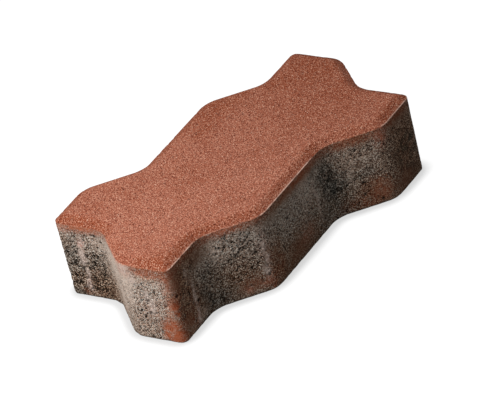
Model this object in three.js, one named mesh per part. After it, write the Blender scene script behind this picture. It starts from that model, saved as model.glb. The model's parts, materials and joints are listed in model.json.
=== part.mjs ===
// Interlocking concrete paving stone, all in millimetres, +Z up.
//
// The stone is one casting. Seen from above it is an oblong, twice as long as it is
// wide, whose four sides run in waves: each half-module of side has one hollow and one
// crest, so that the crests of a stone seat in the hollows of its neighbours. The plan
// looks the same turned half way round, but it has a hand, and a mirrored stone
// doesn't lock with this one. The sides are upright, the bedding face is flat, and a
// chamfer with a worn-soft brow runs all round the wearing face.
//
// The origin is the middle of the bedding face. X runs along the length.

import * as THREE from "three";

// Laying module: the room one stone takes up in the paving, with its joints.
const HALF_MODULE = 112.5;
const HALF_MODULES_LONG = 2;
const HALF_MODULES_WIDE = 1;
const JOINT = 2.5;

// Height from the bedding face to the wearing face.
const THICKNESS = 60;

// Wave of a side: along the side from the end of a half-module to its hollow or
// crest, and square to the side out to the crest or in to the hollow.
const WAVE_RUN = 38;
const WAVE_RISE = 10.3;

// Radii in plan. A hollow is rounder than the crest it takes by the joint between them.
const CREST_RADIUS = 17.5;
const CORNER_RADIUS = 5;
const SMALLEST_RADIUS = 0.4;

// Chamfer round the wearing face, with the roundings at its lower and upper edges. The
// lower edge comes sharp out of the mould, and the upper one is soft.
const CHAMFER_WIDTH = 6;
const CHAMFER_DROP = 3.8;
const ARRIS_RADIUS = 0.5;
const BROW_RADIUS = 8;

// Facets of each rounding.
const CURVE_FACETS = 8;
const CORNER_FACETS = 6;
const ARRIS_FACETS = 2;
const BROW_FACETS = 4;

// Corners of the module's waved sides, anticlockwise from above. Every half-module of
// side gives its starting end, its hollow and its crest. Where two half-modules meet
// in mid side the wave crosses straight over, so only the oblong's own corners stay.
function moduleCorners() {
  const halfLength = (HALF_MODULE * HALF_MODULES_LONG) / 2;
  const halfWidth = (HALF_MODULE * HALF_MODULES_WIDE) / 2;
  const sides = [
    { start: [-halfLength, -halfWidth], along: [1, 0], count: HALF_MODULES_LONG },
    { start: [halfLength, -halfWidth], along: [0, 1], count: HALF_MODULES_WIDE },
    { start: [halfLength, halfWidth], along: [-1, 0], count: HALF_MODULES_LONG },
    { start: [-halfLength, halfWidth], along: [0, -1], count: HALF_MODULES_WIDE },
  ];
  const corners = [];
  for (const side of sides) {
    const start = new THREE.Vector2(...side.start);
    const along = new THREE.Vector2(...side.along);
    const inward = new THREE.Vector2(-along.y, along.x);
    const place = (run, rise) =>
      start.clone().addScaledVector(along, run).addScaledVector(inward, rise);
    corners.push({ point: start, radius: CORNER_RADIUS, facets: CORNER_FACETS });
    for (let half = 0; half < side.count; half += 1) {
      const from = half * HALF_MODULE;
      const to = from + HALF_MODULE;
      corners.push({
        point: place(from + WAVE_RUN, WAVE_RISE),
        radius: CREST_RADIUS + JOINT,
        facets: CURVE_FACETS,
      });
      corners.push({
        point: place(to - WAVE_RUN, -WAVE_RISE),
        radius: CREST_RADIUS,
        facets: CURVE_FACETS,
      });
    }
  }
  return corners;
}

// Arc that rounds the corner between two unit directions, as a list of points. A left
// turn is convex and a right turn is hollow.
function roundedCorner(corner, before, after, radius, facets) {
  const turn = Math.atan2(before.cross(after), before.dot(after));
  const side = Math.sign(turn);
  const tangent = radius * Math.tan(Math.abs(turn) / 2);
  const start = corner.clone().addScaledVector(before, -tangent);
  const toCentre = new THREE.Vector2(-before.y, before.x).multiplyScalar(side * radius);
  const centre = start.clone().add(toCentre);
  const points = [];
  for (let step = 0; step <= facets; step += 1) {
    points.push(start.clone().rotateAround(centre, (turn * step) / facets));
  }
  return points;
}

// The stone's outline, moved in from the module by an inset. A convex radius shrinks
// with the inset and a hollow one grows, so insets of every size stay parallel and
// have the same number of points.
function outline(corners, inset) {
  const points = [];
  corners.forEach((corner, index) => {
    const previous = corners[(index + corners.length - 1) % corners.length].point;
    const next = corners[(index + 1) % corners.length].point;
    const before = corner.point.clone().sub(previous).normalize();
    const after = next.clone().sub(corner.point).normalize();
    const inwardBefore = new THREE.Vector2(-before.y, before.x);
    const inwardAfter = new THREE.Vector2(-after.y, after.x);
    const mitre = inwardBefore.clone().add(inwardAfter);
    mitre.divideScalar(1 + inwardBefore.dot(inwardAfter));
    const moved = corner.point.clone().addScaledVector(mitre, inset);
    const hollow = before.cross(after) < 0;
    const grown = hollow ? corner.radius + inset - JOINT / 2 : corner.radius - inset + JOINT / 2;
    const radius = Math.max(grown, SMALLEST_RADIUS);
    points.push(...roundedCorner(moved, before, after, radius, corner.facets));
  });
  return points;
}

// Section of the side, from the bedding face up and over on to the wearing face: how
// far in from the upright side (x) and how high (y) each ring of the stone lies.
function sideProfile() {
  const arris = new THREE.Vector2(0, THICKNESS - CHAMFER_DROP);
  const brow = new THREE.Vector2(CHAMFER_WIDTH, THICKNESS);
  const up = new THREE.Vector2(0, 1);
  const slope = brow.clone().sub(arris).normalize();
  const inwards = new THREE.Vector2(1, 0);
  return [
    new THREE.Vector2(0, 0),
    ...roundedCorner(arris, up, slope, ARRIS_RADIUS, ARRIS_FACETS),
    ...roundedCorner(brow, slope, inwards, BROW_RADIUS, BROW_FACETS),
  ];
}

// One closed surface: a ring of points for each point of the section, bands of
// triangles between rings, and a flat cap on the first and the last ring.
function stoneGeometry() {
  const corners = moduleCorners();
  const rings = sideProfile().map(({ x: inset, y: height }) => ({
    height,
    points: outline(corners, JOINT / 2 + inset),
  }));
  const around = rings[0].points.length;
  const positions = [];
  for (const ring of rings) {
    for (const point of ring.points) {
      positions.push(point.x, point.y, ring.height);
    }
  }

  const triangles = [];
  for (let band = 0; band < rings.length - 1; band += 1) {
    for (let column = 0; column < around; column += 1) {
      const low = band * around + column;
      const lowNext = band * around + ((column + 1) % around);
      const high = low + around;
      const highNext = lowNext + around;
      triangles.push(low, lowNext, highNext);
      triangles.push(low, highNext, high);
    }
  }
  const bedding = rings[0].points;
  for (const [a, b, c] of THREE.ShapeUtils.triangulateShape(bedding, [])) {
    triangles.push(a, c, b);
  }
  const lastRing = (rings.length - 1) * around;
  const wearing = rings[rings.length - 1].points;
  for (const [a, b, c] of THREE.ShapeUtils.triangulateShape(wearing, [])) {
    triangles.push(lastRing + a, lastRing + b, lastRing + c);
  }

  const geometry = new THREE.BufferGeometry();
  geometry.setAttribute("position", new THREE.Float32BufferAttribute(positions, 3));
  geometry.setIndex(triangles);
  geometry.computeVertexNormals();
  return geometry;
}

const concrete = new THREE.MeshStandardMaterial({
  name: "red_faced_concrete",
  color: 0xac6d53,
  roughness: 0.92,
  metalness: 0,
  flatShading: true,
});

const pavingStone = new THREE.Mesh(stoneGeometry(), concrete);
pavingStone.name = "paving_stone";

const part = new THREE.Group();
part.name = "concrete_paving_stone";
part.add(pavingStone);

export default part;
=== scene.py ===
# %% [markdown]
# # A concrete paving stone
#
# An interlocking paving stone is a single casting. Damp concrete is shaken and pressed
# into a steel mould, and the top few millimetres are a finer, red-coloured mix. The
# solid model already gives the stone's true size, so this lesson keeps that size and
# adds what a solid model leaves out: the open, pitted sides, the sandy face, the worn
# edges and the colours of rust, lime and damp. Some of the colour is painted light:
# shade on the sides turned from the lamp, at the far end of the face and in the gaps,
# and a highlight along the arris.

import json
import math

import bpy
import numpy as np
from mathutils import Matrix, Vector, kdtree, noise
from mathutils.geometry import delaunay_2d_cdt

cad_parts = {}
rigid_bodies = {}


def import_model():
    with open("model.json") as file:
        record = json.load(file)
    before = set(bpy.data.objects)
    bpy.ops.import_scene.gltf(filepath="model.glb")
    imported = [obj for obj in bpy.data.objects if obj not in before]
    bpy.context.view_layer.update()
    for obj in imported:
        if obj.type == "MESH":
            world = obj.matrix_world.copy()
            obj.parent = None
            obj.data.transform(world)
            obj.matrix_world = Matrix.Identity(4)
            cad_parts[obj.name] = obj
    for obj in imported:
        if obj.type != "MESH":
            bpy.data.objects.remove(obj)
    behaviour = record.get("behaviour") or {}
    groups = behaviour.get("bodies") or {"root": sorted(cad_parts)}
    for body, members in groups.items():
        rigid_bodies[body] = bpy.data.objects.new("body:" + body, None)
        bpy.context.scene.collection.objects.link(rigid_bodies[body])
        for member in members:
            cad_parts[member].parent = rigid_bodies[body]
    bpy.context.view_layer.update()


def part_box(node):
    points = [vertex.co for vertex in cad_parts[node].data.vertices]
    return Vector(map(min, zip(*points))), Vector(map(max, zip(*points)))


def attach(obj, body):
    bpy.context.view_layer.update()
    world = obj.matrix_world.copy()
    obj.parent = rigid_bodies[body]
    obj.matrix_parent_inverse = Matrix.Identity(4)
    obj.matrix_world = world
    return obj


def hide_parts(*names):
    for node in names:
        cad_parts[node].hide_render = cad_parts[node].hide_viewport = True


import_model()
MM = 0.001
low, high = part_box("paving_stone")
print("solid model, mm:", [round(size / MM, 1) for size in high - low])

# %% [markdown]
# ## The plan of the stone
#
# Seen from above, the sides run in waves, so that each crest locks into a hollow of the
# next stone. The plan could be traced point by point, but a mould maker draws it from
# two numbers: how far along each half-module the wave turns, and how far it swings out.
# Rounding every turn with an arc then gives the whole outline.

# %% Driving sizes of the plan
HALF_MODULE = 112.5 * MM
HALVES_LONG = 2
HALVES_WIDE = 1
JOINT = 2.5 * MM
WAVE_RUN = 38 * MM
WAVE_RISE = 10.3 * MM
CREST_RADIUS = 17.5 * MM
CORNER_RADIUS = 5 * MM


# %% Turning points of the waved sides
def module_corners():
    """Corner points of the module and their radii, anticlockwise from the back left."""
    half_length = HALF_MODULE * HALVES_LONG / 2
    half_width = HALF_MODULE * HALVES_WIDE / 2
    sides = [
        ((-half_length, half_width), (0, -1), HALVES_WIDE),
        ((-half_length, -half_width), (1, 0), HALVES_LONG),
        ((half_length, -half_width), (0, 1), HALVES_WIDE),
        ((half_length, half_width), (-1, 0), HALVES_LONG),
    ]
    corners = []
    for start, along, halves in sides:
        start, along = np.array(start), np.array(along)
        inward = np.array([-along[1], along[0]])
        corners.append((start, CORNER_RADIUS))
        for half in range(halves):
            hollow = half * HALF_MODULE + WAVE_RUN
            crest = (half + 1) * HALF_MODULE - WAVE_RUN
            corners.append((start + along * hollow + inward * WAVE_RISE, CREST_RADIUS + JOINT))
            corners.append((start + along * crest - inward * WAVE_RISE, CREST_RADIUS))
    return corners


CORNERS = module_corners()
print("turning points:", len(CORNERS))


# %% Round a turning point with an arc
def unit(vector):
    """The same direction with a length of one."""
    return vector / np.linalg.norm(vector)


def rounded(corner, before, after, radius, steps):
    """Points of the arc that rounds a corner between two unit directions."""
    turn = math.atan2(before[0] * after[1] - before[1] * after[0], before @ after)
    start = corner - before * radius * math.tan(abs(turn) / 2)
    bend = math.copysign(1, turn)
    centre = start + bend * radius * np.array([-before[1], before[0]])
    angles = turn * np.linspace(0, 1, steps + 1)
    spoke = start - centre
    x = centre[0] + spoke[0] * np.cos(angles) - spoke[1] * np.sin(angles)
    y = centre[1] + spoke[0] * np.sin(angles) + spoke[1] * np.cos(angles)
    return np.stack([x, y], axis=1)


# %% [markdown]
# ## The outline at any inset
#
# The chamfer is this same outline, drawn again a little further in. Scaling the outline
# would pinch its hollows, so an inset moves every side inwards by the same distance
# instead: crests get tighter and hollows get wider. Each inset uses the point counts of
# the first one, so that two neighbouring outlines can be joined point to point.

# %% Draw the outline
GRAIN = 0.78 * MM
SMALLEST_RADIUS = 0.4 * MM
FEWEST_STEPS = 3


def outline(inset, counts=None):
    """Ring of points round the stone, and how many points each arc and straight has."""
    arcs = []
    for i, (corner, radius) in enumerate(CORNERS):
        before = unit(corner - CORNERS[i - 1][0])
        after = unit(CORNERS[(i + 1) % len(CORNERS)][0] - corner)
        into = np.array([-before[1] - after[1], before[0] + after[0]]) / (1 + before @ after)
        hollow = before[0] * after[1] < before[1] * after[0]
        radius = max(radius + inset if hollow else radius - inset, SMALLEST_RADIUS)
        bend_length = radius * math.acos(before @ after)
        steps = counts[i][0] if counts else max(FEWEST_STEPS, round(bend_length / GRAIN))
        moved = corner + into * (inset + JOINT / 2)
        arcs.append(rounded(moved, before, after, radius, steps))
    ring, used = [], []
    for i, arc in enumerate(arcs):
        following = arcs[(i + 1) % len(arcs)][0]
        gap = np.linalg.norm(following - arc[-1])
        straight = counts[i][1] if counts else max(1, round(gap / GRAIN))
        between = np.linspace(0, 1, straight + 1)[1:-1, None]
        ring += [arc, arc[-1] + (following - arc[-1]) * between]
        used.append((len(arc) - 1, straight))
    return np.concatenate(ring), used


# %% Measure the way round
BASE_RING, COUNTS = outline(0)
strides = np.linalg.norm(np.roll(BASE_RING, -1, axis=0) - BASE_RING, axis=1)
PERIMETER = strides.sum()
AROUND = np.concatenate([[0], np.cumsum(strides)[:-1]])
AROUND -= AROUND[COUNTS[0][0] // 2]
print("points round the stone:", len(BASE_RING), "perimeter, mm:", round(PERIMETER / MM, 1))

# %% [markdown]
# ## The side, from the bed up to the wearing face
#
# The mould gives an upright side, then the press head forms a chamfer with a soft brow
# where it runs on to the flat face. The section is drawn once as a line of points, inset
# against height, and each point becomes one ring round the stone. Three guard rings
# close to the arris, the lower edge of the chamfer, keep that edge crisp.

# %% Sizes of the section
CHAMFER_WIDTH = 6 * MM
CHAMFER_DROP = 3.8 * MM
ARRIS_RADIUS = 0.5 * MM
BROW_RADIUS = 8 * MM
FOOT_RADIUS = 0.6 * MM
GUARD = 0.6 * MM
GUARD_NEAR = 0.6
GUARD_FAR = 1.4
EDGE_STEPS = 2
BROW_STEPS = 6


# %% Draw the section
def joined(arcs, spacing):
    """Arcs joined by straight runs, with points on the runs about one spacing apart."""
    line = [arcs[0]]
    for arc, following in zip(arcs, arcs[1:]):
        gap = following[0] - arc[-1]
        runs = max(1, round(np.linalg.norm(gap) / spacing))
        line += [arc[-1] + gap * np.linspace(0, 1, runs + 1)[1:-1, None], following]
    return np.concatenate(line)


up = np.array([0.0, 1.0])
inwards = np.array([1.0, 0.0])
foot = np.array([0.0, 0.0])
arris = np.array([0.0, high.z - CHAMFER_DROP])
brow = np.array([CHAMFER_WIDTH, high.z])
slope = unit(brow - arris)
section = joined([
    rounded(foot, -inwards, up, FOOT_RADIUS, EDGE_STEPS),
    np.array([arris - up * GUARD]),
    rounded(arris, up, slope, ARRIS_RADIUS, EDGE_STEPS),
    np.array([arris + slope * GUARD * GUARD_NEAR, arris + slope * GUARD * GUARD_FAR]),
    rounded(brow, slope, inwards, BROW_RADIUS, BROW_STEPS),
], GRAIN)
print("rings up the side:", len(section))

# %% [markdown]
# ## A fine skin of small, even faces
#
# Weathering needs many small faces to push in and out. The side rings give a regular
# net. The flat faces are filled with a scatter of points joined by Delaunay triangles,
# which keeps every triangle about one sand grain wide and leaves no pattern to see.


# %% Find near points quickly
def flat(ring):
    """Points of the plan as points in space, at height zero."""
    return np.column_stack([ring, np.zeros(len(ring))])


def finder_for(points):
    """A tree of points that can be asked for the nearest one."""
    tree = kdtree.KDTree(len(points))
    for index, point in enumerate(points):
        tree.insert(point, index)
    tree.balance()
    return tree


def inside(points, ring):
    """Which points lie within the ring, by counting crossings."""
    odd = np.zeros(len(points), bool)
    for a, b in zip(ring, np.roll(ring, -1, axis=0)):
        spans = (a[1] > points[:, 1]) != (b[1] > points[:, 1])
        with np.errstate(divide="ignore", invalid="ignore"):
            x = a[0] + (points[:, 1] - a[1]) * (b[0] - a[0]) / (b[1] - a[1])
        odd ^= spans & (points[:, 0] < x)
    return odd


# %% Fill a flat face with small triangles
SCATTER = 0.3
CLEAR_OF_EDGE = 0.6
FILL_INSIDE = 1
SAME_POINT = 1e-9


def filling(ring, spacing, rng):
    """Scattered points inside the ring, and triangles over ring and scatter together."""
    reach = np.abs(ring).max(axis=0)
    columns, rows = (np.arange(-half, half, spacing) for half in reach)
    x, y = np.meshgrid(columns, rows)
    scatter = np.stack([x.ravel(), y.ravel()], axis=1)
    scatter = scatter + rng.uniform(-SCATTER, SCATTER, scatter.shape) * spacing
    scatter = scatter[inside(scatter, ring)]
    edge = finder_for(flat(ring))
    clear = [edge.find(point)[2] > CLEAR_OF_EDGE * spacing for point in flat(scatter)]
    scatter = scatter[clear]
    points = [Vector(p) for p in np.concatenate([ring, scatter])]
    edges = [(i, (i + 1) % len(ring)) for i in range(len(ring))]
    made = delaunay_2d_cdt(points, edges, [], FILL_INSIDE, SAME_POINT)
    first = [origin[0] for origin in made[3]]
    triangles = [[first[corner] for corner in face] for face in made[2]]
    return scatter, triangles


# %% Net of the side
rings = [outline(inset, COUNTS)[0] for inset, height in section]
columns = len(BASE_RING)
points = []
for ring, (inset, height) in zip(rings, section):
    points.append(np.column_stack([ring, np.full(columns, height)]))
faces = []
for row in range(len(rings) - 1):
    start = row * columns
    for column in range(columns):
        left, right = start + column, start + (column + 1) % columns
        faces.append((left, right, right + columns, left + columns))
print("faces of the side:", len(faces))

# %% Bed and wearing face
BED_SPACING = 3 * MM
FACE_SPACING = 1.3 * MM
rng = np.random.default_rng(16)
bed_scatter, bed_triangles = filling(rings[0], BED_SPACING, rng)
face_scatter, face_triangles = filling(rings[-1], FACE_SPACING, rng)
last_ring = (len(rings) - 1) * columns
bed_start = len(rings) * columns
face_start = bed_start + len(bed_scatter)
points.append(flat(bed_scatter))
points.append(np.column_stack([face_scatter, np.full(len(face_scatter), high.z)]))


def renumbered(triangle, ring_start, scatter_start):
    """Corners of a filling, counted in the whole skin: first its ring, then its scatter."""
    in_skin = []
    for corner in triangle:
        on_ring = corner < columns
        in_skin.append(ring_start + corner if on_ring else scatter_start + corner - columns)
    return in_skin


for a, b, c in bed_triangles:
    faces.append(renumbered((a, c, b), 0, bed_start))
for triangle in face_triangles:
    faces.append(renumbered(triangle, last_ring, face_start))
print("triangles of bed and face:", len(bed_triangles), len(face_triangles))

# %% Make the skin
skin = bpy.data.meshes.new("weathered_stone")
skin.from_pydata(np.concatenate(points).tolist(), [], faces)
skin.validate()
stone = bpy.data.objects.new("weathered_stone", skin)
bpy.context.collection.objects.link(stone)
triangles = sum(len(face) - 2 for face in faces)
print("skin points:", len(skin.vertices), "triangles:", triangles)

# %% [markdown]
# ## Where each point of the skin lies
#
# Rust runs, lime streaks and the lower edge of the red mix are all placed on the sides,
# so every point gets two addresses: how far round the stone it lies, and how high. The
# flat faces borrow the address of the nearest edge.

# %% Address of every skin point
count = len(skin.vertices)
FACES_DOWN = -0.9
UPRIGHT = 1.5


def read_vectors(items, name):
    """Three numbers of every item, as one row each."""
    values = np.empty(count * 3)
    items.foreach_get(name, values)
    return values.reshape(count, 3)


place = read_vectors(skin.vertices, "co")
outward = read_vectors(skin.vertex_normals, "vector")
edge_finder = finder_for(flat(BASE_RING))
nearest = [edge_finder.find((x, y, 0))[1] for x, y, _ in place[bed_start:]]
around = np.concatenate([np.tile(AROUND, len(rings)), AROUND[nearest]])
height = place[:, 2]
side = np.clip(1 - np.abs(outward[:, 2]) * UPRIGHT, 0, 1)
flat_bed = outward[:, 2] < FACES_DOWN
print("mean height, mm:", round(height.mean() / MM, 1))

# %% [markdown]
# ## Noise and patches
#
# Two tools place everything that follows. Noise gives lumps of one size all over, as
# grains have. A patch is a soft oval at an address on the side, for a mark that lies in
# one place. A little noise frays the ovals, because no real stain has a clean rim.


# %% Noise read at every skin point
SEED_STEPS = (7.3, 3.1, 5.7)
ROUGHENING = 1.0
FINER_BY = 2.0


def roughness_field(size, seed, octaves=2):
    """Smooth noise from about -1 to 1, whose lumps are about one size across."""
    shift = Vector([seed * step for step in SEED_STEPS])
    points = place / size
    field = [noise.fractal(Vector(p) + shift, ROUGHENING, FINER_BY, octaves) for p in points]
    return np.array(field)


def eased(value, start, end):
    """0 below start, 1 above end, and a smooth ramp between."""
    t = np.clip((value - start) / (end - start), 0, 1)
    return t * t * (3 - 2 * t)


# %% Patches at an address on the side
FRAYED = 1.6 * MM
FRAY_SIZE = 8 * MM
RIM = 1.2
stray_run = FRAYED * roughness_field(FRAY_SIZE, 8, 3)
stray_rise = FRAYED * roughness_field(FRAY_SIZE, 9, 3)


def way_round(at):
    """How far round the stone every point lies from a place given in millimetres."""
    return (around - at * MM + PERIMETER / 2) % PERIMETER - PERIMETER / 2


def soft_oval(run, rise):
    """1 in the middle of an oval, 0.3 on its rim, and fading to nothing outside."""
    return np.exp(-(run ** 2 + rise ** 2) * RIM)


def patch(at, up_to, wide, tall, strength=1.0):
    """A soft oval patch, in millimetres round the stone and above its bed."""
    run = way_round(at) + stray_run
    rise = height - up_to * MM + stray_rise
    return strength * soft_oval(run / (wide * MM), rise / (tall * MM)) * side


def layered(patches):
    """Patches laid over each other, where the strongest one wins."""
    total = np.zeros(count)
    for one in patches:
        total = np.maximum(total, patch(*one))
    return total


# %% Patches strewn over the sides behind
FAR_SIDES = (352, 692)
SIZES = (0.6, 1.5)
STRENGTHS = (0.5, 1.3)
STRAY_HEIGHT = 9
LOWEST = 3
strew = np.random.default_rng(11)


def scattered(number, up_to, wide, tall, strength):
    """Patches strewn over the two far sides, about as high, large and strong as told."""
    patches = []
    for _ in range(number):
        size = strew.uniform(*SIZES, 2)
        patches.append((
            strew.uniform(*FAR_SIDES),
            max(up_to + strew.normal(0, STRAY_HEIGHT), LOWEST),
            wide * size[0],
            tall * size[1],
            strength * strew.uniform(*STRENGTHS),
        ))
    return patches


# %% [markdown]
# ## Smooth and open places
#
# Dry-cast concrete is stiff, so the mould wall never gets a full coat of cement and the
# sides keep gaps between the grains. Where the mix was wetter or rubbed harder against
# the steel, mostly by the corners, low down and under the arris, the side is closed and
# smooth. Where it was driest the gaps crowd together.
#
# Each row of a list is one patch, and all its numbers but the last are millimetres: how
# far round from the back left corner, how high, its reach each way, and its strength.
# Going round, the turns come at 37 (a hollow), 78 (a crest), 114 (a corner), 152, 192,
# 271, 311 and 348 (the front right corner).

# %% Places rubbed smooth
SMOOTH = [
    (16.3, 37, 2.4, 9, 1.0),
    (20, 55, 26, 4, 0.6),
    (30, 45, 8, 7, 0.6),
    (58, 30, 22, 60, 0.6),
    (79, 30, 5, 40, 0.6),
    (80, 47, 7, 11, 1.1),
    (108, 7, 7, 9, 1.2),
    (112, 26, 4, 10, 0.9),
    (118, 44, 9, 14, 1.0),
    (121, 28, 7, 14, 0.5),
    (122, 9, 8, 12, 0.9),
    (134, 30, 5, 30, 0.5),
    (143, 12, 8, 12, 0.4),
    (146, 46, 14, 10, 0.9),
    (176, 8, 16, 9, 0.7),
    (192, 30, 3, 30, 0.3),
    (199, 20, 7, 16, 0.45),
    (200, 50, 18, 8, 0.7),
    (222, 8, 30, 13, 0.8),
    (236, 52, 40, 7, 1.0),
    (252, 36, 12, 14, 0.3),
    (290, 38, 22, 12, 0.35),
    (290, 52, 30, 5, 0.4),
    (303, 8, 12, 14, 0.8),
    (330, 6, 24, 14, 0.9),
    (330, 52, 20, 8, 1.0),
    (334, 26, 24, 30, 0.5),
]
SMOOTH += scattered(9, 30, 12, 22, 0.8)
SMOOTH += scattered(8, 6, 12, 9, 0.9)
closed = layered(SMOOTH)
print("places rubbed smooth:", len(SMOOTH))

# %% Places where gaps crowd
COARSE = [
    (18, 24, 22, 30, 1.5),
    (92, 12, 16, 18, 0.5),
    (124, 28, 10, 12, 0.8),
    (148, 14, 6, 12, 0.8),
    (172, 33, 15, 14, 0.8),
    (268, 30, 10, 14, 1.0),
    (292, 34, 22, 14, 0.5),
    (326, 42, 14, 5, 0.9),
]
COARSE += scattered(6, 26, 15, 18, 0.9)
crowded = layered(COARSE)
print("places with many gaps:", len(COARSE))

# %% [markdown]
# ## Where the red mix ends
#
# The red mix is about ten millimetres thick, and its lower edge wanders, because the
# two damp mixes are pressed into each other. In two places on the front it was spread
# thinner. The line is a height at every point of the side, with the grey below it.

# %% The line where the red mix ends
FACING_DEPTH = 10 * MM
RAGGED = 2.6 * MM
FADE = 3.2 * MM
LONG_WANDER = 16 * MM
SHORT_WANDER = 5 * MM
THIN_FACING = [
    (222, 54, 34, 30, 5.5),
    (334, 54, 22, 30, 4.5),
]
wander = roughness_field(LONG_WANDER, 1) * 0.6 + roughness_field(SHORT_WANDER, 2) * 0.4
facing_line = high.z - FACING_DEPTH + RAGGED * wander + layered(THIN_FACING) * MM
body = eased(facing_line - height, -FADE, FADE)
print("share of skin in the grey body:", round(body.mean(), 2))

# %% How open the surface is
BED_ROUGHNESS = 0.7
RED_OPENNESS = 0.6
rough = np.where(flat_bed, BED_ROUGHNESS, side)
openness = rough * (RED_OPENNESS + (1 - RED_OPENNESS) * body) * (1 - np.minimum(closed, 1))
print("mean openness:", round(openness.mean(), 2))

# %% [markdown]
# ## Lumps, crumbs and sand
#
# A bump map alone would leave the outline of the stone perfectly clean and the gaps flat,
# so the coarse relief moves real points, always inwards, which keeps the stone inside its
# true size. Only relief finer than the skin's own grain is left to the finish.

# %% Sink the grain of each mix
LUMP_SIZE = 9 * MM
LUMP_DEPTH = 0.10 * MM
CRUMB_SIZE = 1.7 * MM
CRUMB_DEPTH = 0.30 * MM
SAND_SIZE = 2.4 * MM
SAND_DEPTH = 0.03 * MM
lumps = roughness_field(LUMP_SIZE, 3)
crumbs = roughness_field(CRUMB_SIZE, 4)
sand = roughness_field(SAND_SIZE, 5)
sunk = LUMP_DEPTH * (1 + lumps) * body
sunk += CRUMB_DEPTH * eased(-crumbs, -0.1, 0.7) * openness
sunk += SAND_DEPTH * (1 + sand) * (1 - openness)
print("mean depth of the grain, mm:", round(sunk.mean() / MM, 3))

# %% [markdown]
# ## Gaps, pits and pinholes
#
# A gap is the space between a few neighbouring grains, so it is made as a short string
# of round hollows and not as one round hole. Larger pits, where a pebble fell out, and
# shallow pinholes in the red face are single hollows.


# %% Press in hollows
def pressed_in(centres, radii, depths):
    """How deep a set of rounded hollows reaches at every skin point."""
    depth = np.zeros(count)
    for centre, radius, deepest in zip(centres, radii, depths):
        for _, index, distance in skin_finder.find_range(centre, radius):
            dent = deepest * (1 - (distance / radius) ** 2)
            depth[index] = max(depth[index], dent)
    return depth


skin_finder = finder_for(place)

# %% Strings of gaps between the grains
GAPS = 2600
LINKS = 4
STEP = 0.7 * MM
GOES_ON = 0.55
SMALLEST_GAP = 0.6
GAP_SPREAD = (2, 0.12)
GAP_DEPTHS = (0.4, 0.8)
OPEN_ENOUGH = 0.3
EVERYWHERE = 0.25


def strings(starts):
    """Each start followed by a short random walk, as one long list of points."""
    walked = [starts]
    for _ in range(1, LINKS):
        going = rng.random(len(walked[-1])) < GOES_ON
        walked.append(walked[-1][going] + rng.normal(0, STEP, (going.sum(), 3)))
    return np.concatenate(walked)


on_body = np.flatnonzero(openness * side > OPEN_ENOUGH)
weight = EVERYWHERE + crowded[on_body]
chosen = rng.choice(on_body, GAPS, p=weight / weight.sum())
centres = strings(place[chosen])
radii = (SMALLEST_GAP + rng.gamma(*GAP_SPREAD, len(centres))) * MM
gaps = pressed_in(centres, radii, radii * rng.uniform(*GAP_DEPTHS, len(centres)))
print("hollows in strings:", len(centres), "deepest, mm:", round(gaps.max() / MM, 2))

# %% Pinholes in the face and pits in the body
PINHOLES = 260
PINHOLE_RADII = (1.3, 1.9)
PINHOLE_DEPTH = 0.12
PITS = 80
PIT_RADII = (0.9, 1.4)
PIT_DEPTH = 0.7
RED_ENOUGH = 0.2
on_face = np.flatnonzero(body < RED_ENOUGH)
centres = place[rng.choice(on_face, PINHOLES)]
radii = rng.uniform(*PINHOLE_RADII, PINHOLES) * MM
pinholes = pressed_in(centres, radii, radii * PINHOLE_DEPTH)
centres = place[rng.choice(on_body, PITS)]
radii = rng.uniform(*PIT_RADII, PITS) * MM
pits = pressed_in(centres, radii, radii * PIT_DEPTH)
sunk += np.maximum(gaps * openness, pits) + pinholes * (1 - body)
print("deepest pit, mm:", round(pits.max() / MM, 2))

# %% [markdown]
# ## Worn edges
#
# The arris and the foot of the side lose grains when stones are tipped and stacked. The
# wear is deepest on the line of the edge and dies away within a couple of grains, and it
# comes and goes along the edge.


# %% Nibble the edges
def from_line(at):
    """How far each skin point lies from a line round the stone, told by its section."""
    distance = np.ones(count)
    distance[:bed_start] = np.repeat(np.linalg.norm(section - at, axis=1), columns)
    return distance


ARRIS_WEAR = 0.16 * MM
FOOT_WEAR = 0.45 * MM
WEAR_REACH = 1.4 * MM
NIBBLE_SIZE = 4.5 * MM
BED_SHARE = 0.5
nibble = eased(roughness_field(NIBBLE_SIZE, 6, 3), 0.1, 0.8)
from_foot = height + flat_bed
sunk += ARRIS_WEAR * nibble * np.exp(-((from_line(arris) / WEAR_REACH) ** 2))
sunk += FOOT_WEAR * nibble * np.exp(-((from_foot / WEAR_REACH) ** 2))
sunk[flat_bed] *= BED_SHARE
print("most that an edge loses, mm:", round(FOOT_WEAR * nibble.max() / MM, 2))

# %% Move the points of the skin
worn = place - outward * sunk[:, None]
worn[:, 2] = np.maximum(worn[:, 2], 0)
skin.vertices.foreach_set("co", worn.ravel())
skin.update()
for polygon in skin.polygons:
    polygon.use_smooth = True
print("mean wear, mm:", round(sunk.mean() / MM, 2), "deepest:", round(sunk.max() / MM, 2))

# %% [markdown]
# ## Painting where stains lie
#
# A stain could be painted as a picture wrapped round the stone, but a picture has one
# fixed sharpness. Here each stain is a list of soft patches, stored on the skin as one
# named value from 0 to 1. The finish reads it by name and breaks it up with fine noise.


# %% Store a value on the skin
def store(name, values):
    """Keeps one value for every skin point under a name that a material can read."""
    kept = np.clip(values, 0, 1).astype(np.float32)
    layer = skin.attributes.new(name, "FLOAT", "POINT")
    layer.data.foreach_set("value", kept)
    print("stored", name + ", mean:", round(float(kept.mean()), 3))
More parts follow.
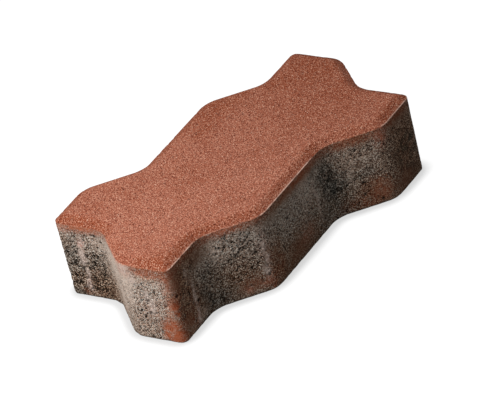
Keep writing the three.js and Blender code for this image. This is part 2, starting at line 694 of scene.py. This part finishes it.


# %% [markdown]
# ## Rust, and earth with painted shade
#
# Rust comes from iron in the sand and from the red mix, which bleeds along the arris and
# down the corners in warm orange patches. Brown earth sticks low down, in the hollows
# and just under the arris. The broad brown patches that cover the two sides turned from
# the lamp are painted shade: they make those sides darker and warmer.

# %% Rust
RUST = [
    (12, 3, 2.5, 4, 0.5),
    (18, 55, 26, 4, 0.9),
    (48, 56, 16, 2.6, 0.8),
    (98, 22, 12, 12, 0.25),
    (98, 52, 20, 4.5, 0.8),
    (98, 56, 22, 2.6, 1.0),
    (106, 3, 5, 5, 1.0),
    (109, 7, 8, 12, 2.2),
    (112, 26, 4.5, 9, 1.0),
    (112, 48, 6, 9, 0.7),
    (113, 17, 4, 6, 0.9),
    (114, 26, 4, 9, 1.2),
    (128, 10, 8, 10, 0.15),
    (132, 55, 10, 3, 0.4),
    (168, 55, 16, 4, 0.9),
    (178, 8, 10, 7, 0.15),
    (180, 55, 14, 3, 0.4),
    (190, 6, 5, 8, 0.5),
    (199, 18, 7, 14, 0.1),
    (240, 54, 26, 4, 0.4),
    (286, 5, 16, 6, 0.35),
    (288, 55, 22, 3.5, 0.3),
    (303, 12, 10, 10, 0.25),
    (309, 50, 5, 7, 0.6),
    (322, 10, 14, 14, 0.1),
    (330, 54, 16, 4, 0.2),
]
RUST += scattered(8, 6, 8, 8, 1.0)
RUST += scattered(5, 54, 16, 3.5, 0.7)
print("patches of rust:", len(RUST))

# %% Brown earth and painted shade
EARTH_AND_SHADE_PATCHES = [
    (3, 42, 5, 6, 0.5),
    (8, 10, 10, 10, 0.7),
    (20, 6, 24, 8, 0.7),
    (28, 8, 14, 18, 1.0),
    (92, 8, 18, 10, 0.3),
    (98, 48, 15, 3, 0.4),
    (119, 4, 6, 4, 0.9),
    # This patch and the one at 330 cover the two sides turned from the lamp: painted shade.
    (124, 30, 13, 40, 1.3),
    (132, 18, 12, 20, 0.9),
    (136, 50, 16, 9, 1.2),
    (172, 20, 18, 14, 0.6),
    (176, 10, 14, 12, 0.7),
    (199, 14, 10, 18, 1.2),
    (222, 8, 34, 16, 0.8),
    (230, 53, 44, 4, 1.0),
    (290, 54, 26, 6, 1.0),
    (292, 40, 20, 14, 0.35),
    (300, 10, 22, 14, 1.0),
    (330, 28, 26, 46, 1.0),
    (330, 54, 18, 5, 1.2),
]
EARTH_AND_SHADE_PATCHES += scattered(7, 10, 18, 16, 1.0)
EARTH_AND_SHADE_PATCHES += scattered(3, 40, 14, 20, 0.8)
print("patches of earth:", len(EARTH_AND_SHADE_PATCHES))

# %% [markdown]
# ## Pink dust, damp with painted shade, and lime
#
# Pink dust is cement stained by the red mix, rubbed on under the arris and along the
# edges. Damp darkens the hollows, which dry last. One patch is painted shade that darkens
# the whole side turned from the lamp, and a few make the left end darker towards its foot.
# Lime is washed out of the cement and dries as a pale bloom, thickest from the hollow to
# the crest of the left end.

# %% Pink dust
PINK = [
    (16, 11, 2.2, 6, 0.6),
    (17, 43, 2.4, 4, 1.6),
    (20, 54, 28, 4, 0.2),
    (64, 55, 16, 3, 0.5),
    (78, 53, 5, 6, 0.4),
    (80, 52, 5, 4, 0.4),
    (112, 40, 6, 12, 0.6),
    (133, 6, 3, 6, 0.5),
    (166, 55, 12, 4, 0.6),
    (175, 6, 3, 4, 0.6),
    (184, 9, 12, 8, 0.25),
    (190, 9, 4, 7, 0.5),
    (190, 30, 4, 18, 0.45),
    (236, 14, 12, 8, 0.3),
    (290, 53, 20, 4, 0.3),
    (304, 9, 12, 12, 0.2),
    (309, 49, 5, 6, 0.9),
]
PINK += scattered(6, 50, 8, 6, 0.8)
print("patches of pink dust:", len(PINK))

# %% Damp and painted shade
DAMP_AND_SHADE_PATCHES = [
    (6, 30, 5, 12, 0.35),
    (7, 6, 8, 8, 0.9),
    (28, 30, 7, 6, 0.35),
    (29, 12, 8, 16, 0.6),
    (136, 46, 12, 6, 0.4),
    (143, 20, 5, 6, 0.6),
    (147, 28, 6, 6, 0.4),
    (152, 9, 10, 7, 0.7),
    (240, 20, 4, 3, 0.5),
    (249, 20, 4, 3, 0.5),
    (252, 45, 9, 8, 0.4),
    (264, 38, 8, 8, 0.9),
    (268, 10, 14, 9, 0.5),
    (272, 26, 8, 9, 1.8),
    (292, 53, 22, 4, 0.15),
    (297, 26, 8, 3.5, 0.5),
    # Painted shade over the side turned from the lamp.
    (335, 24, 22, 20, 0.95),
]
DAMP_AND_SHADE_PATCHES += scattered(8, 22, 7, 9, 0.8)
print("patches of damp:", len(DAMP_AND_SHADE_PATCHES))

# %% Lime bloom
LIME = [
    (5, 53, 4, 2.5, 0.7),
    (20, 54, 26, 5, 0.15),
    (35, 46, 6, 8, 0.6),
    (41, 42, 4, 6, 0.6),
    (42, 22, 5, 22, 0.5),
    (52, 36, 16, 14, 1.2),
    (58, 45, 22, 10, 1.6),
    (64, 13, 18, 10, 0.5),
    (66, 24, 12, 16, 1.0),
    (71, 53, 8, 5, 1.6),
    (80, 38, 5, 12, 2.0),
    (81, 50, 5, 8, 2.0),
    (95, 46, 17, 5, 0.4),
    (125, 3, 3, 5, 0.4),
    (140, 6, 6, 4, 0.45),
    (158, 45, 3.0, 8, 0.7),
    (163, 32, 3.0, 5, 0.5),
    (168, 55, 5, 1.8, 0.7),
    (172, 3, 12, 6, 0.15),
    (187, 38, 4, 14, 0.15),
    (212, 36, 3.5, 5, 0.4),
    (243, 44, 6, 6, 0.3),
    (285, 26, 3.0, 12, 0.5),
    (307, 28, 4, 8, 0.25),
]
LIME += scattered(7, 38, 9, 9, 0.9)
print("patches of lime:", len(LIME))

# %% [markdown]
# ## Streaks and paler concrete
#
# Where water ran down the side it left narrow, crumbly streaks of lime, which are tall
# thin patches. Broad pale patches make the body itself lighter where more of its sand
# shows.

# %% Crumbly streaks
STREAKS = [
    (15.3, 33, 1.8, 6, 3.0),
    (15.8, 10, 1.5, 5, 1.4),
    (16.8, 19, 1.3, 6, 1.4),
    (17, 43, 1.7, 4, 1.4),
    (80, 53, 3.5, 3.0, 1.8),
    (85, 46, 3.0, 3.5, 2.0),
    (94.5, 34, 1.8, 5, 2.0),
    (97, 26, 2.0, 6, 3.0),
    (131, 42, 2.0, 6, 0.5),
    (134, 24, 1.6, 10, 1.2),
    (134.5, 8, 1.8, 6, 1.4),
    (189.2, 16.5, 2.3, 4.5, 2.0),
    (189.9, 33, 1.5, 5, 1.6),
    (190.4, 25, 1.5, 4, 1.9),
    (254, 26, 1.3, 16, 0.7),
]
STREAKS += scattered(9, 28, 1.5, 8, 1.4)
print("streaks:", len(STREAKS))

# %% Paler places
PALE = [
    (20, 48, 26, 8, 0.7),
    (60, 36, 26, 40, 0.8),
    (96, 22, 20, 44, 1.6),
    (168, 44, 15, 12, 0.9),
    (246, 38, 12, 12, 0.4),
    (282, 40, 14, 12, 0.3),
]
PALE += scattered(4, 30, 20, 22, 0.9)
print("pale places:", len(PALE))

# %% Store what lies on the sides
DEEP_GAP = 0.5 * MM
DEEP_PIT = 0.7 * MM
for name, patches in (
    ("rust", RUST), ("earth_and_shade", EARTH_AND_SHADE_PATCHES), ("pink", PINK), ("lime", LIME),
    ("streaks", STREAKS), ("pale", PALE),
):
    store(name, layered(patches))
store("body", body)
store("open", openness)
store("side", side)
store("rough", rough)
# Depths of the gaps and pits, which the finish also paints with shade.
store("gaps", gaps / DEEP_GAP * openness)
store("pits", pits / DEEP_PIT)

# %% [markdown]
# ## The wearing face
#
# Feet and brushes leave the middle of a face alone and work earth into its far end and
# corners, so its brown places are a few broad ovals, given in millimetres from the
# middle of the stone. The ovals at the far end, away from the lamp, are also painted
# shade where its light falls off.


# %% Brown places and painted shade on the wearing face
def spots(ovals):
    """Soft ovals on the wearing face: middle, reach each way in millimetres, strength."""
    total = np.zeros(count)
    for x, y, wide, deep, strength in ovals:
        oval = soft_oval((place[:, 0] / MM - x) / wide, (place[:, 1] / MM - y) / deep)
        total = np.maximum(total, strength * oval)
    return total * (1 - side)


EARTH_AND_FALLOFF_SHADE = [
    (-107, -43, 13, 9, 0.95),
    (-106, 32, 7, 12, 0.8),
    (10, 38, 16, 8, 0.8),
    (20, 0, 60, 60, 0.2),
    (34, 50, 34, 16, 1.15),
    (72, -6, 44, 54, 0.8),
    (80, 30, 24, 18, 1.1),
    (90, -14, 36, 30, 0.85),
    (104, 24, 40, 36, 1.2),
]
store("earth_and_falloff_shade", spots(EARTH_AND_FALLOFF_SHADE))
print("brown places on the face:", len(EARTH_AND_FALLOFF_SHADE))

# %% [markdown]
# ## The rim of the face
#
# Along some stretches the arris is rubbed to a thin pale line, and the same pale line is
# painted highlight where the edge catches the lamp above a side turned away from it. The
# chamfer keeps its dirt and stays a little browner than the face, except where it is swept
# clean. Both come and go along the edge, so each is a list of stretches.


# %% Stretches of the rim
FADES_FROM = 4
GONE_BY = 2


def along_edge(stretches):
    """Stretches of the edge round the face: middle, reach each way, strength."""
    total = np.zeros(count)
    for at, reach, strength in stretches:
        run = np.abs(way_round(at))
        within = 1 - eased(run, (reach - FADES_FROM) * MM, (reach + GONE_BY) * MM)
        total = np.maximum(total, strength * within)
    return total


# Stretches of the pale arris line: rubbed wear, and painted highlight above the sides turned
# from the lamp.
RUBBED_AND_HIGHLIGHT = [
    (70, 9, 0.3),
    (130, 16, 1.0),
    (170, 22, 0.1),
    (225, 33, 1.0),
    (330, 19, 0.9),
]
SWEPT = [
    (68, 22, 0.75),
    (172, 24, 0.3),
    (224, 32, 0.35),
    (292, 24, 0.7),
    (406, 26, 0.9),
]

# %% Store the rim
RUB_AND_HIGHLIGHT_WIDTH = 0.36 * MM
RUB_AND_HIGHLIGHT_ABOVE = 0.25
ARRIS_FADE = 1.0 * MM
BROW_FADE = 0.5 * MM
BROW_END = 0.02 * MM
rub_and_highlight_line = arris + slope * RUB_AND_HIGHLIGHT_ABOVE * MM
# The pale line on the arris, partly rubbed wear and partly painted highlight.
rubbed = np.exp(-((from_line(rub_and_highlight_line) / RUB_AND_HIGHLIGHT_WIDTH) ** 2))
store("edge", rubbed * along_edge(RUBBED_AND_HIGHLIGHT))
on_chamfer = eased(height, arris[1] - ARRIS_FADE, arris[1])
on_chamfer *= 1 - eased(height, brow[1] - BROW_FADE, brow[1] - BROW_END)
store("chamfer", on_chamfer * (1 - along_edge(SWEPT)))

# %% [markdown]
# ## The bed
#
# Nobody finishes the bedding face. It is rough all over, with broad damp clouds and
# patches of open grain, and no mark on it has a place of its own, so noise is enough.

# %% Clouds on the bed
DAMP_CLOUDS = 34 * MM
WORN_CLOUDS = 18 * MM
BED_DAMP = 0.6
BED_TONE = 0.4
DARKEST_BELOW = 6 * MM
PALEST_ABOVE = 50 * MM
damp_bed = flat_bed * eased(roughness_field(DAMP_CLOUDS, 12, 3), 0, 0.8)
worn_bed = flat_bed * eased(roughness_field(WORN_CLOUDS, 10, 3), -0.1, 0.6)
# Damp and painted shade from the side patches, and damp clouds on the bed.
store("damp_and_shade", np.maximum(layered(DAMP_AND_SHADE_PATCHES), BED_DAMP * damp_bed))
store("coarse", np.maximum(crowded, worn_bed) * openness)
store("high", np.maximum(eased(height, DARKEST_BELOW, PALEST_ABOVE), BED_TONE * flat_bed))

# %% [markdown]
# ## The finish
#
# The stone is one piece with two mixes in it, so it gets one material that fades from
# the red face mix to the grey body. Colours are built up the way the stone is: a base
# colour, slow mottling, single grains of sand, then gaps, stains and lime on top. The
# patterns are read in tilted coordinates, so that no face cuts them square.

# %% Start a material
TILT = (0.5, 0.8, 0.3)
finish = bpy.data.materials.new("weathered_concrete")
finish.use_nodes = True
nodes, links = finish.node_tree.nodes, finish.node_tree.links
nodes.clear()
placed = nodes.new("ShaderNodeTexCoord")
tilted = nodes.new("ShaderNodeMapping")
tilted.inputs["Rotation"].default_value = TILT
links.new(placed.outputs["Object"], tilted.inputs["Vector"])
where = tilted.outputs["Vector"]


def colour(*srgb):
    """A colour as written on screen, from 0 to 255, turned into light."""
    parts = [part / 255 for part in srgb]
    return [(p / 12.92 if p <= 0.04045 else ((p + 0.055) / 1.055) ** 2.4) for p in parts] + [1.0]


# %% Noise of one size
def sized(node, size, seed):
    """Gives a pattern its size, and uses its fourth number as a seed."""
    node.inputs["Scale"].default_value = 1 / size
    node.inputs["W"].default_value = seed
    links.new(where, node.inputs["Vector"])


def noise_at(size, detail=2.0, seed=0.0):
    """Cloudy noise whose clouds are about one size across."""
    node = nodes.new("ShaderNodeTexNoise")
    node.noise_dimensions = "4D"
    node.inputs["Detail"].default_value = detail
    sized(node, size, seed)
    return node.outputs["Fac"]


# %% Grains, seams and stored values
def grains_at(size, seed=0.0):
    """Distance to the middle of the nearest grain, and a random value for each grain."""
    node = nodes.new("ShaderNodeTexVoronoi")
    node.voronoi_dimensions = "4D"
    sized(node, size, seed)
    return node.outputs["Distance"], node.outputs["Color"]


def seams_at(size, seed=0.0):
    """Distance to the nearest seam between grains that lie side by side."""
    node = nodes.new("ShaderNodeTexVoronoi")
    node.voronoi_dimensions = "4D"
    node.feature = "DISTANCE_TO_EDGE"
    sized(node, size, seed)
    return node.outputs["Distance"]


def stored(name):
    """A value that was stored on the skin."""
    node = nodes.new("ShaderNodeAttribute")
    node.attribute_name = name
    return node.outputs["Fac"]


# %% Stretch a value
def feed(socket, value):
    """Sets a socket to a number or a colour, or links a field to it."""
    if isinstance(value, (int, float, list)):
        socket.default_value = value
    else:
        links.new(value, socket)


def ramp(value, start, end, low_value=0.0, high_value=1.0):
    """Stretches the part of a value between start and end."""
    node = nodes.new("ShaderNodeMapRange")
    node.interpolation_type = "SMOOTHSTEP"
    feed(node.inputs["Value"], value)
    node.inputs["From Min"].default_value = start
    node.inputs["From Max"].default_value = end
    node.inputs["To Min"].default_value = low_value
    node.inputs["To Max"].default_value = high_value
    return node.outputs["Result"]


# %% Combine values and mix colours
def combine(operation, a, b):
    """One of the sums on two values, such as ADD or MAXIMUM."""
    node = nodes.new("ShaderNodeMath")
    node.operation = operation
    feed(node.inputs[0], a)
    feed(node.inputs[1], b)
    return node.outputs["Value"]


def times(a, b):
    """Two values multiplied, which is high only where both are."""
    return combine("MULTIPLY", a, b)


def mixed(factor, under, over, blend="MIX"):
    """One colour laid over another, by a factor that is a number or a field."""
    node = nodes.new("ShaderNodeMix")
    node.data_type = "RGBA"
    node.blend_type = blend
    feed(node.inputs["Factor"], factor)
    feed(node.inputs["A"], under)
    feed(node.inputs["B"], over)
    return node.outputs["Result"]


# %% [markdown]
# ## The red face mix
#
# Iron oxide colours the cement, and the sand keeps its own colour. The mix is therefore
# a red ground with slow clouds in it, over which grains lie in three sizes: fine sand
# from noise, single grains, and a few stray specks. Voronoi cells give the single ones,
# because each cell has a middle to draw a grain on and a number to choose its colour.

# %% Ground of the red mix
RED = colour(183, 109, 84)
RED_BROWN = colour(153, 73, 40)
RED_PALE = colour(190, 124, 102)
clouds = ramp(noise_at(24 * MM, 3, 1.0), 0.38, 0.7, 0, 0.35)
red = mixed(clouds, RED, RED_BROWN)
mottling = ramp(noise_at(6 * MM, 2, 2.0), 0.45, 0.75, 0, 0.4)
red = mixed(mottling, red, RED_PALE)
red = mixed(times(stored("chamfer"), 0.7), red, RED_BROWN)
# Earth on the wearing face, which is also painted shade at its far end, away from the lamp.
red = mixed(times(stored("earth_and_falloff_shade"), 0.8), red, RED_BROWN)
print("nodes with the red ground:", len(nodes))

# %% Sand and single grains in the red mix
GRAIN_LIGHT = colour(242, 186, 158)
GRAIN_DARK = colour(90, 30, 12)
FINE_SAND = 0.75 * MM
FACE_GRAIN = 1.15 * MM
sand_fine = noise_at(FINE_SAND, 2, 3.0)
red = mixed(ramp(sand_fine, 0.53, 0.66, 0, 0.7), red, GRAIN_LIGHT)
red = mixed(ramp(sand_fine, 0.49, 0.35, 0, 1.0), red, GRAIN_DARK)
from_grain, grain_number = grains_at(FACE_GRAIN, 12.0)
bright = times(ramp(from_grain, 0.4, 0.2), ramp(grain_number, 0.64, 0.7))
red = mixed(times(bright, 0.85), red, GRAIN_LIGHT)
dark = times(ramp(from_grain, 0.45, 0.25), ramp(grain_number, 0.42, 0.37))
red = mixed(times(dark, 0.9), red, GRAIN_DARK)
print("nodes with the sand:", len(nodes))

# %% Stray specks in the red mix
SPECK_PALE = colour(255, 208, 182)
SPECK_DARK = colour(62, 24, 14)
SPECK_SPACING = 2 * MM
from_speck, speck_number = grains_at(SPECK_SPACING, 25.0)
near_speck = ramp(from_speck, 0.25, 0.14, 0, 0.9)
pale_speck = times(near_speck, ramp(speck_number, 0.57, 0.59))
red = mixed(pale_speck, red, SPECK_PALE)
dark_speck = times(near_speck, ramp(speck_number, 0.5, 0.48))
red = mixed(dark_speck, red, SPECK_DARK)
print("nodes with the specks:", len(nodes))

# %% [markdown]
# ## The grey body
#
# The body is coarser concrete, palest near the top and browner towards the bed, so its
# ground is a blend by height with clouds in it. Its grains come after the stains,
# because a stain soaks into the cement and the grains still stand out on it.

# %% Ground of the grey body
GREY_HIGH = colour(178, 153, 136)
GREY_LOW = colour(134, 107, 83)
GREY_PALE = colour(244, 206, 182)
cloudy = ramp(noise_at(14 * MM, 3, 4.0), 0.35, 0.65, -0.25, 0.25)
grey = mixed(combine("ADD", stored("high"), cloudy), GREY_LOW, GREY_HIGH)
bleached = ramp(noise_at(7 * MM, 2, 14.0), 0.3, 0.6, 0.5, 1)
grey = mixed(times(stored("pale"), bleached), grey, GREY_PALE)

# %% Lay the red mix over the grey
SIDE_RED = colour(166, 121, 97)
ragged = noise_at(2 * MM, 3, 6.0)
body_edge = combine("ADD", stored("body"), ramp(ragged, 0.3, 0.7, -0.3, 0.3))
dusty = ramp(noise_at(2.5 * MM, 3, 13.0), 0.35, 0.6, 0.3, 0.85)
base = mixed(times(stored("side"), dusty), red, SIDE_RED)
base = mixed(ramp(body_edge, 0.1, 0.9), base, grey)
print("nodes with both mixes:", len(nodes))

# %% [markdown]
# ## Stains
#
# Every stain is its stored value times a cloudy noise, so that it thins out in blotches
# as a real one does. They are laid in the order in which they came: earth and damp
# first, then lime, pink dust and rust. The last three also fill the gaps a little. Earth
# and damp also carry painted shade on the sides turned from the lamp.

# %% Lay on the stains
EARTH_AND_SHADE_BROWN = colour(126, 81, 57)
DAMP_AND_SHADE_DARK = colour(50, 50, 42)
LIME_PALE = colour(255, 229, 210)
PINK_DUST = colour(236, 164, 144)
RUST_ORANGE = colour(206, 112, 72)
blotch = noise_at(5 * MM, 4, 7.0)
# Earth, and painted shade on the sides turned from the lamp.
earth_and_shade = times(stored("earth_and_shade"), ramp(blotch, 0.3, 0.55, 0.5, 0.9))
base = mixed(earth_and_shade, base, EARTH_AND_SHADE_BROWN)
# Damp, and painted shade on the side turned from the lamp.
damp_and_shade = times(stored("damp_and_shade"), ramp(blotch, 0.35, 0.6))
base = mixed(damp_and_shade, base, DAMP_AND_SHADE_DARK)
lime = times(stored("lime"), ramp(noise_at(1.8 * MM, 3, 8.0), 0.35, 0.52, 0.6, 1.0))
base = mixed(lime, base, LIME_PALE)
pink = times(stored("pink"), ramp(noise_at(2.2 * MM, 3, 9.0), 0.38, 0.56, 0.3, 0.9))
base = mixed(pink, base, PINK_DUST)
rust = times(stored("rust"), ramp(blotch, 0.3, 0.55, 0.4, 1.0))
base = mixed(rust, base, RUST_ORANGE)
print("nodes with the stains:", len(nodes))

# %% How much the stains leave open
LIME_FILLS = 0.55
RUST_FILLS = 0.75
chalked = times(combine("MAXIMUM", lime, pink), LIME_FILLS)
filled = combine("MAXIMUM", chalked, times(rust, RUST_FILLS))
unfilled = combine("SUBTRACT", 1.0, filled)
speckled = combine("ADD", stored("open"), times(stored("pale"), 0.3))
speckled = times(combine("ADD", speckled, 0.2), stored("rough"))
speckled = times(speckled, unfilled)

# %% [markdown]
# ## Grains and gaps of the body
#
# Seen close, the side is a crowd of pale grains with dark gaps between them. Pale and
# dark grains come from the high and low ends of one fine noise, and the gaps from
# another, which is pulled down where real hollows were pressed in, so that colour and
# shape agree: the dark in the gaps and pits is painted shade in those hollows. Grit,
# seams and pebbles then add the few sharper marks.

# %% Pale grains, dark grains, and painted shade in the gaps
GREY_LIGHT = colour(252, 242, 228)
DARK_GRAIN_AND_GAP_SHADE = colour(34, 23, 12)
BODY_GRAIN = 0.8 * MM
GAP_SIZE = 1.25 * MM
body_grain = noise_at(BODY_GRAIN, 2, 5.0)
base = mixed(times(ramp(body_grain, 0.51, 0.62, 0, 0.9), speckled), base, GREY_LIGHT)
base = mixed(times(ramp(body_grain, 0.48, 0.36, 0, 0.95), speckled), base, DARK_GRAIN_AND_GAP_SHADE)
pit_or_gap = combine("SUBTRACT", noise_at(GAP_SIZE, 2, 15.0), times(stored("gaps"), 0.13))
# Dark in the gaps, deepest where real hollows were pressed in: painted shade.
base = mixed(times(ramp(pit_or_gap, 0.4, 0.35, 0, 0.95), speckled), base, DARK_GRAIN_AND_GAP_SHADE)

# %% Grit in the paler concrete
GRIT_WHITE = colour(255, 250, 240)
GRIT_SIZE = 0.95 * MM
RUST_HIDES = 0.8
from_grit, grit_number = grains_at(GRIT_SIZE, 26.0)
near_grit = times(ramp(from_grit, 0.55, 0.35), stored("pale"))
near_grit = times(near_grit, stored("body"))
near_grit = times(near_grit, combine("SUBTRACT", 1.0, times(rust, RUST_HIDES)))
base = mixed(times(near_grit, ramp(grit_number, 0.56, 0.62)), base, GRIT_WHITE)
base = mixed(times(near_grit, ramp(grit_number, 0.44, 0.38, 0, 0.8)), base, DARK_GRAIN_AND_GAP_SHADE)

# %% Pits with painted shade, seams and pebbles
SEAM_SPACING = 2.3 * MM
PEBBLE_SPACING = 1.2 * MM
near_seam = ramp(seams_at(SEAM_SPACING, 21.0), 0.16, 0.08)
seam = times(near_seam, ramp(noise_at(2.6 * MM, 2, 22.0), 0.5, 0.58))
seam = times(seam, unfilled)
# Painted shade in the pits that were pressed into the skin.
base = mixed(ramp(stored("pits"), 0.15, 0.7, 0, 0.85), base, DARK_GRAIN_AND_GAP_SHADE)
base = mixed(times(seam, stored("coarse")), base, DARK_GRAIN_AND_GAP_SHADE)
from_pebble, pebble_number = grains_at(PEBBLE_SPACING, 23.0)
pebble = times(ramp(from_pebble, 0.4, 0.22), ramp(pebble_number, 0.64, 0.7))
base = mixed(times(pebble, speckled), base, GREY_LIGHT)
base = mixed(times(dark_speck, stored("rough")), base, DARK_GRAIN_AND_GAP_SHADE)
print("nodes with grains and gaps:", len(nodes))

# %% [markdown]
# ## Washes, streaks and the rubbed, highlighted edge
#
# Earth and damp also tint the grains they lie on, so each gets a second, thinner wash
# here, which also carries their painted shade. The streaks and the pale line on the arris,
# partly rubbed wear and partly painted highlight, are the newest marks and lie on top.

# %% Washes over the grains
EARTH_AND_SHADE_WASH = colour(255, 221, 192)
base = mixed(earth_and_shade, base, EARTH_AND_SHADE_WASH, "MULTIPLY")
base = mixed(times(damp_and_shade, 0.45), base, DAMP_AND_SHADE_DARK)

# %% Crumbs of the streaks
STREAK_PALE = colour(255, 230, 216)
CRUMB_SPACING = 1.2 * MM
from_crumb, crumb_number = grains_at(CRUMB_SPACING, 24.0)
near_crumb = ramp(from_crumb, 0.72, 0.5, 0.4, 1.0)
crumb = times(near_crumb, ramp(crumb_number, 0.38, 0.46, 0.4, 1.0))
base = mixed(times(stored("streaks"), crumb), base, STREAK_PALE)

# %% Pale line on the arris: rubbed wear and painted highlight
EDGE_PALE_AND_HIGHLIGHT = colour(252, 210, 190)
broken = ramp(noise_at(3 * MM, 3, 11.0), 0.35, 0.55, 0.25, 1.0)
base = mixed(times(stored("edge"), broken), base, EDGE_PALE_AND_HIGHLIGHT)
print("nodes with every colour:", len(nodes))

# %% [markdown]
# ## The surface
#
# Dry concrete hardly shines, so it is rough, with a weak highlight. The same noises that
# coloured the grains also raise them, through a bump, and dark gaps come out low.

# %% Surface of the finish
ROUGHNESS = 0.93
SHINE = 0.25
BUMP_STRENGTH = 0.6
BUMP_HEIGHT = 0.5 * MM
shader = nodes.new("ShaderNodeBsdfPrincipled")
shader.inputs["Roughness"].default_value = ROUGHNESS
shader.inputs["Specular IOR Level"].default_value = SHINE
links.new(base, shader.inputs["Base Color"])
coarse_relief = combine("ADD", body_grain, times(ramp(pit_or_gap, 0.34, 0.46), 0.8))
relief = combine("ADD", times(sand_fine, 0.8), times(coarse_relief, speckled))
bump = nodes.new("ShaderNodeBump")
bump.inputs["Strength"].default_value = BUMP_STRENGTH
bump.inputs["Distance"].default_value = BUMP_HEIGHT
links.new(relief, bump.inputs["Height"])
links.new(bump.outputs["Normal"], shader.inputs["Normal"])
output = nodes.new("ShaderNodeOutputMaterial")
links.new(shader.outputs["BSDF"], output.inputs["Surface"])
skin.materials.append(finish)
print("nodes in the finish:", len(nodes))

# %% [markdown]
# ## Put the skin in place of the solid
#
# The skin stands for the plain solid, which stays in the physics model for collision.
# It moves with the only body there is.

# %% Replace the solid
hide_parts("paving_stone")
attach(stone, "root")

# %% [markdown]
# ## Floor
#
# A floor that is white under the lamps would throw far too much light back on to the
# sides, so the stone is lit by a grey floor, and the camera sees another one that glows.
# It drops below white only near the stone, where ambient occlusion measures how much of
# the sky the stone hides from the floor.


# %% Helpers for the floor and the sky
def added(tree, kind, **sockets):
    """A new node, with the numbers and colours of its sockets."""
    node = tree.nodes.new(kind)
    for name, value in sockets.items():
        node.inputs[name].default_value = value
    return node


def grey_of(level):
    """A plain grey, from 0 to 1."""
    return (level, level, level, 1)


def split_for_camera(tree, for_stone, for_camera, output_kind):
    """Shows one shader to the camera, and lights the stone by the other."""
    chooser = added(tree, "ShaderNodeMixShader")
    path = added(tree, "ShaderNodeLightPath")
    surface = added(tree, output_kind)
    tree.links.new(path.outputs["Is Camera Ray"], chooser.inputs[0])
    tree.links.new(for_stone.outputs[0], chooser.inputs[1])
    tree.links.new(for_camera.outputs[0], chooser.inputs[2])
    tree.links.new(chooser.outputs[0], surface.inputs["Surface"])


# %% Floor
FLOOR_SIZE = 6.0
FLOOR_FOR_STONE = grey_of(0.15)
FLOOR_IN_LIGHT = grey_of(0.17)
FLOOR_GLOW = 0.97
CONTACT_REACH = 9 * MM
CONTACT_DARKEST = 0.65
bpy.ops.mesh.primitive_plane_add(size=FLOOR_SIZE)
floor = bpy.context.object
floor.name = "floor"
paint = bpy.data.materials.new("white_floor")
paint.use_nodes = True
tree = paint.node_tree
tree.nodes.clear()
for_stone = added(tree, "ShaderNodeBsdfDiffuse", Color=FLOOR_FOR_STONE)
in_light = added(tree, "ShaderNodeBsdfDiffuse", Color=FLOOR_IN_LIGHT)
closeness = added(tree, "ShaderNodeAmbientOcclusion", Distance=CONTACT_REACH)
contact = added(tree, "ShaderNodeMath")
contact.operation = "MAXIMUM"
contact.inputs[1].default_value = CONTACT_DARKEST
glow = added(tree, "ShaderNodeEmission", Strength=FLOOR_GLOW)
both = added(tree, "ShaderNodeAddShader")
tree.links.new(closeness.outputs["AO"], contact.inputs[0])
tree.links.new(contact.outputs[0], glow.inputs["Color"])
tree.links.new(in_light.outputs[0], both.inputs[0])
tree.links.new(glow.outputs[0], both.inputs[1])
split_for_camera(tree, for_stone, both, "ShaderNodeOutputMaterial")
floor.data.materials.append(paint)
print("floor, m:", FLOOR_SIZE)

# %% [markdown]
# ## Light
#
# One large soft lamp stands high on the left, so the faces turned to the right fall into
# shade and every grain shows. A weak one behind on the right and an even grey sky keep
# the shade open. Sunlight would be quicker to set up, but its shadows are too hard.


# %% Lamps
def softbox(name, direction, distance, size, power):
    """A square lamp that faces the middle of the stone."""
    lamp = bpy.data.lights.new(name, "AREA")
    lamp.size = size
    lamp.energy = power
    holder = bpy.data.objects.new(name, lamp)
    aim = Vector(direction).normalized()
    holder.location = aim * distance
    holder.rotation_euler = aim.to_track_quat("Z", "Y").to_euler()
    bpy.context.collection.objects.link(holder)
    print(name, "watts:", power)


softbox("key_light", (-0.56, 0.06, 0.83), distance=0.7, size=0.35, power=3.65)
softbox("fill_light", (0.75, 0.3, 0.6), distance=0.8, size=0.5, power=0.6)

# %% Surrounding light
SKY_STRENGTH = 0.2
world = bpy.data.worlds.new("studio")
bpy.context.scene.world = world
world.use_nodes = True
sky = world.node_tree
sky.nodes.clear()
even_light = added(sky, "ShaderNodeBackground", Color=grey_of(1), Strength=SKY_STRENGTH)
seen_white = added(sky, "ShaderNodeBackground", Color=grey_of(1))
split_for_camera(sky, even_light, seen_white, "ShaderNodeOutputWorld")
print("sky strength:", SKY_STRENGTH)

# %% [markdown]
# ## Camera
#
# A long lens from over two metres away keeps the edges nearly parallel. The camera is
# turned in three steps, as on a tripod: a heading round the stone, a look down, and a
# roll that makes the stone lie slantwise across the view.

# %% Camera
AIM = Vector((-3.9, -12.74, 30)) * MM
HEADING = math.radians(36.873)
LOOK_DOWN = math.radians(32.762)
ROLL = math.radians(-14.036)
DISTANCE = 2376.9 * MM
FOCAL_LENGTH = 264.66
SENSOR_WIDTH = 36
lens = bpy.data.cameras.new("camera")
lens.lens = FOCAL_LENGTH
lens.sensor_width = SENSOR_WIDTH
camera = bpy.data.objects.new("camera", lens)
turned = Matrix.Rotation(-HEADING, 4, "Z") @ Matrix.Rotation(math.pi / 2 - LOOK_DOWN, 4, "X")
turned = turned @ Matrix.Rotation(ROLL, 4, "Z")
back = turned @ Vector((0, 0, 1))
camera.matrix_world = Matrix.Translation(AIM + back * DISTANCE) @ turned
bpy.context.collection.objects.link(camera)
bpy.context.scene.camera = camera
bpy.context.scene.view_settings.view_transform = "Standard"
print("camera at, mm:", [round(c / MM) for c in camera.location])
